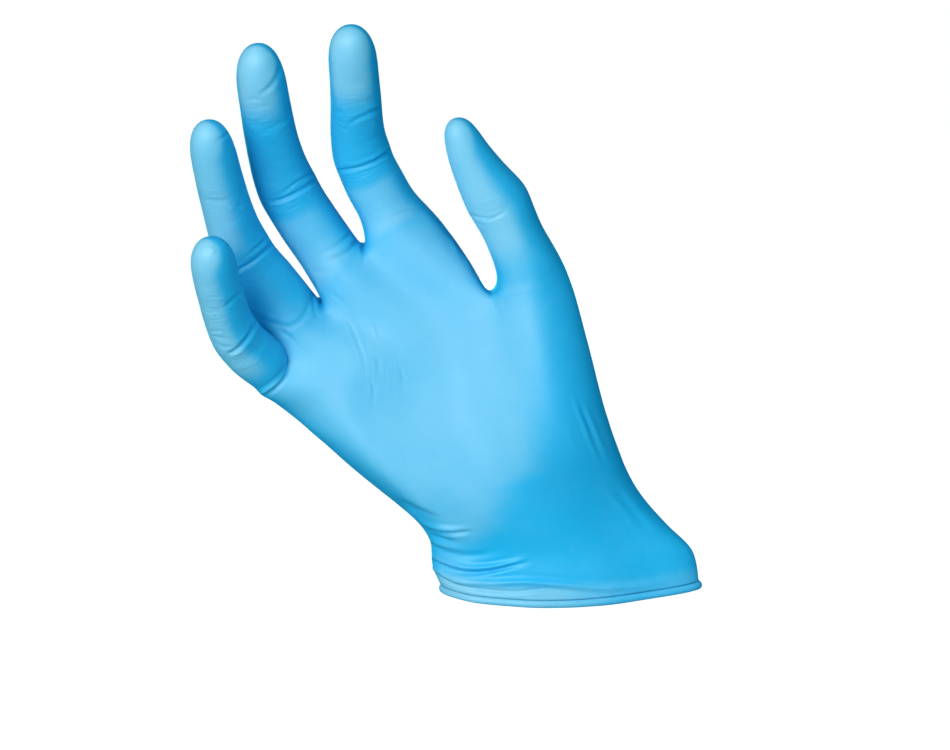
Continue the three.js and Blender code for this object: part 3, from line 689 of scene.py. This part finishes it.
def film_marks(places, faces, shares, size):
    """What colour and fine relief follow: stretch, which is stretched film together with a painted
    highlight, way along a finger, joints and gathers.
    """
    out = outward(places, faces)
    stretch, way_along, joints, gathers = np.zeros((4, len(places)))
    palm = 1 - shares.sum(1)
    for name, mine, line, along, way, pad, share in finger_ways(places, shares, size):
        turn, ranges = math.radians(STRETCH_AND_HIGHLIGHT[name][0]), STRETCH_AND_HIGHLIGHT[name][1]
        # The paler side is turned from the pad towards the little finger's side, where the key
        # light falls: a painted highlight on top of the stretched film
        middle = pad * math.cos(turn) + np.cross(pad, way) * math.sin(turn)
        at = along / line.length
        # The very tip gets the painted highlight all round
        facing = (out[mine] * middle).sum(1) + 0.75 * smoothstep(at, 0.86, 1.0)
        front = smoothstep(facing, 0.38, 0.92) * smoothstep(share, 0.2, 0.7)
        for low, high, pale in ranges:
            here = smoothstep(at, low - 0.06, low + 0.08) * (1 - smoothstep(at, high - 0.06, high))
            stretch[mine] += pale * here * front
        # Wrinkles lie on the pads and the backs and not on the sides
        own = smoothstep(share, 0.55, 0.9) * smoothstep(abs((out[mine] * pad).sum(1)), 0.3, 0.8)
        if name == "thumb":
            own *= THUMB_WRINKLES
            palm[mine] += share * (1 - smoothstep(at, *THUMB_ROOT))
        way_along[mine] = np.where(share > 0.5, along, way_along[mine])
        for joint in line.joints:
            joints[mine] += own * (0.15 + bell((along - joint * line.length) / (7 * MM)))
    x, y = in_photograph(places).T
    # On the palm, painted highlight together with stretched film: paler where it faces the front
    # and lies before PLATE_EDGE, on the side the key light falls on
    front = smoothstep(-out[:, 1], 0.3, 0.92)
    plate = 1 - smoothstep(x - np.interp(y, *PLATE_EDGE), *PLATE_FADE)
    lower = 1 - 0.3 * smoothstep(places[:, 2], 0.9 * size.palm_length, 1.15 * size.palm_length)
    up = smoothstep(places[:, 2], 0.3 * size.cuff_length, 2 * size.cuff_length)
    behind = smoothstep(out[:, 1], 0.45, 0.95)
    stretch += palm * (PALM_PALE * plate * front * lower + BACK_PALE * up * behind)
    # A painted highlight along the band above the bead, weaker towards the thumb's side
    left, right = ROWS[0][0]
    rim = row_height(size, ROWS[0], (places[:, 0] / size.palm_breadth - left) / (right - left))
    height, pale = RIM_BAND
    band = 1 - smoothstep(places[:, 2] - rim, 0.3 * height, height)
    stretch += pale * band * (1 - 0.6 * smoothstep(x, *RIM_FADE))
    for (right, down), (across, high) in WRINKLED:
        gathers += 0.6 * front * bell(np.hypot((x - right) / across, (y - down) / high))
    at_cuff = 1 - smoothstep(places[:, 2], 0.2 * size.cuff_length, 1.6 * size.cuff_length)
    gathers += 0.4 * at_cuff * palm
    return np.stack([stretch, way_along, joints, np.clip(gathers, 0, 1)], 1)


def wrinkle(places, size):
    """Broad soft unevenness of the film: heights and waves in millimetres."""
    x, y, z = (places / MM).T
    soft = 0.09 * np.sin(x / 6.1 + 1.3 * np.sin(z / 9.7)) * np.sin(z / 7.3 + 0.9 * np.sin(y / 6.0))
    fine = 0.03 * np.sin(x / 2.3 + 1.7 * np.sin(z / 4.1)) * np.sin(z / 2.9 + 1.1 * np.sin(y / 3.0))
    return (soft + fine) * MM * size.fold_depth


def crumple(places, faces, shares, size):
    """Places of the film's points with its folds, creases and wrinkles pressed in."""
    out = outward(places, faces)
    to_eye = unit(camera_axes()[0] - places)
    facing = smoothstep((out * to_eye).sum(1), 0.0, 0.45)
    spots = in_photograph(places)
    lift = joint_lift(places, out, shares, size) + back_lift(places, out, size)
    lift += wrinkle(places, size) + gather_lift(places, out, size)
    palm = 1 - shares.sum(1)
    for line in LINES:
        where = line[0]
        if where == "palm":
            own = smoothstep(palm, 0.3, 0.8)
        elif where:
            own = smoothstep(shares[:, list(FINGERS).index(where)], 0.2, 0.6)
        else:
            own = 1.0
        lift += line_lift(spots, facing * own, line, size)
    return places + out * lift[:, None]


def film_shape(size):
    """The film's points with their marks, and its faces: outside, bead and inside."""
    points, faces, rim = film_net(size)
    count, rounds, rims = len(points), [], [rim]
    for _ in range(ROUNDS):
        rounds.append(Round(count, faces))
        rims.append(rounds[-1].rim(rims[-1]))
        count, faces = rounds[-1].total, rounds[-1].made
    first, second, third, last = rounds
    # The finer nets go through the points of the first round
    wanted = values = even_out(first.apply(points), second)
    for _ in range(2):
        finer = third.apply(second.apply(values))
        values = values + wanted - finer[:len(values)]
    finest = last.apply(third.apply(second.apply(values)))
    shares = np.clip(finest[:, 3:], 0, 1)
    marks = film_marks(finest[:, :3], faces, shares, size)
    places = crumple(finest[:, :3], faces, shares, size)

    # A face is split in four where that changes its shape most
    coarse, which = last.faces, last.which
    n, edges = last.count, last.edges
    edge_points, middles = places[n:n + len(edges)], places[n + len(edges):]
    bent = lengths(edge_points - places[edges].mean(1))
    error = np.maximum(bent[which].max(1), lengths(middles - places[coarse].mean(1)))
    error[np.isin(coarse, rims[3]).any(1)] = 0
    split = np.zeros(len(coarse), bool)
    split[np.argsort(-error)[:size.split_faces]] = True
    cut_edges = np.zeros(len(edges), bool)
    cut_edges[which[split].ravel()] = True
    made = []
    for f, (corners, sides) in enumerate(zip(coarse, which)):
        if split[f]:
            centre = n + len(edges) + f
            made += [(corners[i], n + sides[i], centre, n + sides[i - 1]) for i in range(4)]
            continue
        made.append([])
        for corner, side in zip(corners, sides):
            made[-1] += [corner, n + side] if cut_edges[side] else [corner]

    # Inside, and the rolled bead that joins it to the outside
    out = outward(places, faces)
    inner_count, inner_first = third.count, len(places)
    inside = places[:inner_count] - out[:inner_count] * size.wall
    made += [inner_first + f[::-1] for f in third.faces]
    loop = below = rims[3]
    radius = size.bead / 2
    table = [np.hstack([places, marks]), np.hstack([inside, marks[:inner_count]])]
    first_number = inner_first + inner_count
    for degrees in np.linspace(*BEAD_TURNS):
        a = math.radians(degrees)
        ring = places[loop] + out[loop] * (radius * math.cos(a) - size.wall / 2)
        ring[:, 2] -= radius * (math.sin(a) + BEAD_DROP)
        table.append(np.hstack([ring, marks[loop]]))
        numbers = first_number + np.arange(len(loop))
        made += faces_between(numbers, below)
        first_number += len(loop)
        below = numbers
    inner_rim = inner_first + rims[2]
    made += zip(inner_rim, np.roll(inner_rim, -1), np.roll(below[::2], -1), below[1::2], below[::2])
    return compact(np.vstack(table), made)


def compact(points, faces):
    """Leaves out the points that no face uses."""
    used = np.zeros(len(points), bool)
    for f in faces:
        used[list(f)] = True
    number = np.cumsum(used) - 1
    return points[used], [tuple(int(number[v]) for v in f) for f in faces]


class Wire:
    """An output socket of a node. Arithmetic on it adds Math nodes."""

    def __init__(self, nodes, socket):
        self.nodes = nodes
        self.socket = socket

    def math(self, operation, other, swap=False):
        terms = (other, self) if swap else (self, other)
        return self.nodes.node(
            "ShaderNodeMath", {"operation": operation}, dict(enumerate(terms)))["Value"]

    def __add__(self, other): return self.math("ADD", other)
    def __radd__(self, other): return self.math("ADD", other)
    def __sub__(self, other): return self.math("SUBTRACT", other)
    def __rsub__(self, other): return self.math("SUBTRACT", other, swap=True)
    def __mul__(self, other): return self.math("MULTIPLY", other)
    def __rmul__(self, other): return self.math("MULTIPLY", other)

    def between(self, low, high):
        """0 below low, 1 above high, smooth in between."""
        return self.nodes.node("ShaderNodeMapRange", {"interpolation_type": "SMOOTHSTEP"}, {
            "Value": self, "From Min": low, "From Max": high})["Result"]


class Nodes:
    """The nodes of one material."""

    def __init__(self, name):
        self.material = bpy.data.materials.new(name)
        self.material.use_nodes = True
        self.tree = self.material.node_tree

    def feed(self, node, values):
        for key, value in values.items():
            if isinstance(value, Wire):
                self.tree.links.new(value.socket, node.inputs[key])
            else:
                node.inputs[key].default_value = value

    def shaded(self, values):
        """The material, with these values or links for the sockets of its shader."""
        self.feed(self.tree.nodes["Principled BSDF"], values)
        return self.material

    def node(self, kind, settings=None, values=None):
        """Adds a node, its settings first and then its sockets, and gives its outputs."""
        made = self.tree.nodes.new(kind)
        for key, value in (settings or {}).items():
            setattr(made, key, value)
        self.feed(made, values or {})
        return {o.name: Wire(self, o) for o in made.outputs if o.enabled}

    def mix_colour(self, factor, a, b):
        """The Mix node's colour sockets are numbers 6 and 7, its factor number 0."""
        return self.node("ShaderNodeMix", {"data_type": "RGBA"}, {0: factor, 6: a, 7: b})["Result"]

    def stretch(self, place, factors):
        return self.node("ShaderNodeVectorMath", {"operation": "MULTIPLY"},
                         {0: place, 1: factors})["Vector"]

    def noise(self, place, scale, detail=2.0, roughness=0.5, distortion=0.0):
        """Noise with so many waves to the metre."""
        return self.node("ShaderNodeTexNoise", values={
            "Vector": place, "Scale": scale, "Detail": detail, "Roughness": roughness,
            "Distortion": distortion})["Fac"]


def nitrile_material(look):
    """Light blue nitrile film: satin, finely grained, paler where it is stretched and where a
    highlight is painted into its colour.
    """
    nodes = Nodes("nitrile_film")
    place = nodes.node("ShaderNodeTexCoord")["Object"]
    x, y, height = nodes.node("ShaderNodeSeparateXYZ", values={"Vector": place}).values()
    stretch, way_along, joints, gathers = (
        nodes.node("ShaderNodeAttribute", {"attribute_name": name})["Fac"] for name in MARKS)
    slack = 1 - height.between(0.0, 0.06)
    cloudy = nodes.noise(place, 60, 3.0, 0.55).between(0.3, 0.7)
    mottle = nodes.noise(place, 420, 3.0, 0.6).between(0.35, 0.65)
    base = nodes.mix_colour(slack * 0.55, (*look.colour, 1), (*look.slack_colour, 1))
    # Painted highlight: the stretch mark turns the colour to the paler colour of stretched film
    # with the lights' sheen painted on it
    pale = stretch + (cloudy - 0.5) * 0.10 + (mottle - 0.5) * 0.05
    base = nodes.mix_colour(pale.between(-0.15, 1.15), base, (*look.stretch_highlight_colour, 1))
    grain = nodes.noise(place, 2600, 2.0, 0.6)
    fine = nodes.noise(nodes.stretch(place, (1.0, 1.0, 0.35)), 700, 3.0, 0.6, 0.6)
    lengthways = nodes.noise(nodes.stretch(place, (1.5, 0.8, 0.35)), 420, 2.0, 0.5, 0.9)
    across = nodes.noise(nodes.node("ShaderNodeCombineXYZ", values={
        "X": way_along, "Y": x * 0.25, "Z": y * 0.25})["Vector"], 620, 2.0, 0.5, 0.7)
    relief = grain * 0.08 + fine * 0.22 + lengthways * gathers * 0.9 + across * joints * 1.7
    bump = nodes.node("ShaderNodeBump", values={
        "Strength": look.relief, "Distance": 0.0006, "Height": relief})["Normal"]
    rough = look.roughness + mottle * 0.05 - slack * 0.04
    return nodes.shaded({
        "Base Color": base, "Roughness": rough, "Normal": bump, "Specular IOR Level": 0.75})


def LengthProperty(name, description, default):
    return FloatProperty(name=name, description=description, default=default, unit="LENGTH")


def ColourProperty(name, description, default):
    return FloatVectorProperty(
        name=name, description=description, default=default, subtype="COLOR")


class GloveShape(bpy.types.PropertyGroup):
    palm_breadth: LengthProperty("Palm breadth", "Across the knuckles", 76 * MM)
    palm_length: LengthProperty("Palm length", "Wrist crease to the webs of the fingers", 95 * MM)
    palm_depth: LengthProperty("Palm depth", "Front to back at the middle of the palm", 31 * MM)
    cuff_length: LengthProperty("Cuff length", "Rim to wrist crease", 26 * MM)
    finger_scale: FloatProperty(
        name="Finger size", description="Lengths and breadths of the fingers as a share",
        default=1.0)
    wall: LengthProperty("Film", "Thickness of the film as drawn", 1.0 * MM)
    bead: LengthProperty("Bead", "Diameter of the rolled rim", 2.6 * MM)
    fold_depth: FloatProperty(
        name="Folds", description="Depth of all folds and creases as a share", default=1.0)
    split_faces: IntProperty(
        name="Finer faces", description="How many faces are split where the film is creased",
        default=12500)


class GloveLook(bpy.types.PropertyGroup):
    colour: ColourProperty("Colour", "Film between the pads and the cuff", (0.008, 0.43, 0.745))
    # Stretched film with a painted highlight of the lights' sheen on it, where the stretch mark is
    # high
    stretch_highlight_colour: ColourProperty(
        "Stretched colour", "Thinnest film over the pads", (0.245, 0.585, 0.765))
    slack_colour: ColourProperty("Slack colour", "Thicker film at the wrist", (0.004, 0.52, 0.88))
    roughness: FloatProperty(
        name="Roughness", description="Of the film's surface", default=0.56, subtype="FACTOR")
    relief: FloatProperty(
        name="Relief", description="Strength of the fine grain and wrinkles", default=0.3,
        subtype="FACTOR")


class GloveStage(bpy.types.PropertyGroup):
    floor_drop: LengthProperty("Floor", "How far the floor lies below the rim", 60 * MM)
    floor_radius: LengthProperty(
        "Floor radius", "From the middle to where the floor curves up", 3.0)
    key: FloatProperty(name="Key light", description="Power in watts", default=14.6)
    back: FloatProperty(name="Back light", description="Power in watts", default=15.0)
    fill: FloatProperty(
        name="Fill lights", description="Power of the left and the low one in watts", default=2.5)
    fill_colour: ColourProperty(
        "Fill colour", "Cool light of the fills and the room", (0.05, 0.76, 1.0))
    right_fill: FloatProperty(
        name="Right fill", description="Power of the fill on the thumb's side in watts",
        default=4.5)
    ambient: FloatProperty(
        name="Room", description="Strength of the room's light", default=0.18)


class GLOVE_OT_film(bpy.types.Operator):
    """Make the glove's film: five finger stalls, palm, gathered cuff and rolled bead"""

    bl_idname = "nitrile_glove.film"
    bl_label = "Make the film"

    def execute(self, context):
        points, faces = film_shape(context.scene.glove_shape)
        mesh = bpy.data.meshes.new("glove_film")
        mesh.from_pydata(points[:, :3].tolist(), [], faces)
        mesh.update()
        for name, values in zip(MARKS, points[:, 3:].T):
            mesh.attributes.new(name, "FLOAT", "POINT").data.foreach_set("value", values)
        mesh.shade_smooth()
        mesh.materials.append(nitrile_material(context.scene.glove_look))
        film = add_object(context, "glove_film", mesh)
        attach(film, "root")
        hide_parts("glove")
        return {"FINISHED"}


def add_object(context, name, data):
    made = bpy.data.objects.new(name, data)
    context.scene.collection.objects.link(made)
    return made


def add_light(context, name, place, target, power, size, colour=(1, 1, 1)):
    data = bpy.data.lights.new(name, "AREA")
    data.energy = power
    data.color = colour
    data.shape = "DISK"
    data.size = size
    light = add_object(context, name, data)
    light.location = place
    light.rotation_mode = "QUATERNION"
    light.rotation_quaternion = (Vector(target) - Vector(place)).to_track_quat("-Z", "Y")


class GLOVE_OT_stage(bpy.types.Operator):
    """Make the pale floor, the soft lights and the camera at the photograph's angle"""

    bl_idname = "nitrile_glove.stage"
    bl_label = "Make the stage"

    def execute(self, context):
        stage = context.scene.glove_stage
        self.floor(context, stage, CAD_BOX[0][2] - stage.floor_drop)
        add_light(context, "key_light", (-0.46, -1.0, 0.5), (-0.02, -0.01, 0.09), stage.key, 1.0)
        for name, place, power in (("back_light", (-0.25, 1.5, 0.1), stage.back),
                                   ("left_fill", (-0.9, -0.6, -0.7), stage.fill),
                                   ("right_fill", (1.0, -0.5, 0.8), stage.right_fill),
                                   ("low_fill", (0.4, -0.6, -0.95), stage.fill)):
            add_light(context, name, place, (0, 0, 0.08), power, 0.9, stage.fill_colour)
        world = bpy.data.worlds.new("pale_room")
        world.use_nodes = True
        background = world.node_tree.nodes["Background"]
        background.inputs["Color"].default_value = (*stage.fill_colour, 1)
        background.inputs["Strength"].default_value = stage.ambient
        context.scene.world = world
        self.camera(context)
        context.scene.view_settings.view_transform = "Standard"
        return {"FINISHED"}

    def floor(self, context, stage, level):
        """A round floor that curves up into a wall far from the glove."""
        bend, steps, sides, top = 1.2, 10, 48, 4.0
        section = [(0.01, 0.0), (0.5, 0.0), (stage.floor_radius, 0.0)]
        for i in range(1, steps + 1):
            a = math.pi / 2 * i / steps
            section.append((stage.floor_radius + bend * math.sin(a), bend * (1 - math.cos(a))))
        section.append((stage.floor_radius + bend, top))
        places = [(r * math.cos(2 * math.pi * k / sides), r * math.sin(2 * math.pi * k / sides),
                   level + z) for r, z in section for k in range(sides)]
        loops = np.arange(len(places)).reshape(-1, sides)
        faces = [f for pair in zip(loops, loops[1:]) for f in faces_between(*pair)]
        faces.append(loops[0, ::-1].tolist())
        mesh = bpy.data.meshes.new("floor")
        mesh.from_pydata(places, [], faces)
        mesh.shade_smooth()
        mesh.materials.append(Nodes("floor_paint").shaded({
            "Base Color": (0.3, 0.3, 0.3, 1), "Roughness": 0.9, "Specular IOR Level": 0.0,
            "Emission Color": (1, 1, 1, 1), "Emission Strength": 1.0}))
        floor = add_object(context, "floor", mesh)
        floor.visible_diffuse = floor.visible_glossy = floor.visible_shadow = False

    def camera(self, context):
        """The photograph's camera, from its place and its axes."""
        eye, right, up, ahead = camera_axes()
        data = bpy.data.cameras.new("camera")
        data.sensor_width = 36
        data.lens = FOCAL_PIXELS / PHOTO_SIZE[0] * data.sensor_width
        data.clip_start, data.clip_end = 0.05, 30
        camera = add_object(context, "camera", data)
        turn = Matrix((right, up, -ahead)).transposed()
        camera.matrix_world = Matrix.Translation(eye) @ turn.to_4x4()
        context.scene.camera = camera


class GLOVE_PT_panel(bpy.types.Panel):
    bl_idname = "GLOVE_PT_panel"
    bl_label = "Nitrile glove"
    bl_space_type = "VIEW_3D"
    bl_region_type = "UI"
    bl_category = "Nitrile glove"

    def draw(self, context):
        scene = context.scene
        for group, operator in ((scene.glove_shape, GLOVE_OT_film), (scene.glove_look, None),
                                (scene.glove_stage, GLOVE_OT_stage)):
            box = self.layout.box()
            for key in group.__annotations__:
                box.prop(group, key)
            if operator:
                box.operator(operator.bl_idname)


CLASSES = (GloveShape, GloveLook, GloveStage, GLOVE_OT_film, GLOVE_OT_stage, GLOVE_PT_panel)


def register():
    for c in CLASSES:
        bpy.utils.register_class(c)
    bpy.types.Scene.glove_shape = PointerProperty(type=GloveShape)
    bpy.types.Scene.glove_look = PointerProperty(type=GloveLook)
    bpy.types.Scene.glove_stage = PointerProperty(type=GloveStage)


def unregister():
    del bpy.types.Scene.glove_stage
    del bpy.types.Scene.glove_look
    del bpy.types.Scene.glove_shape
    for c in reversed(CLASSES):
        bpy.utils.unregister_class(c)


def main():
    register()
    bpy.ops.nitrile_glove.film()
    bpy.ops.nitrile_glove.stage()


if __name__ == "__main__":
    main()
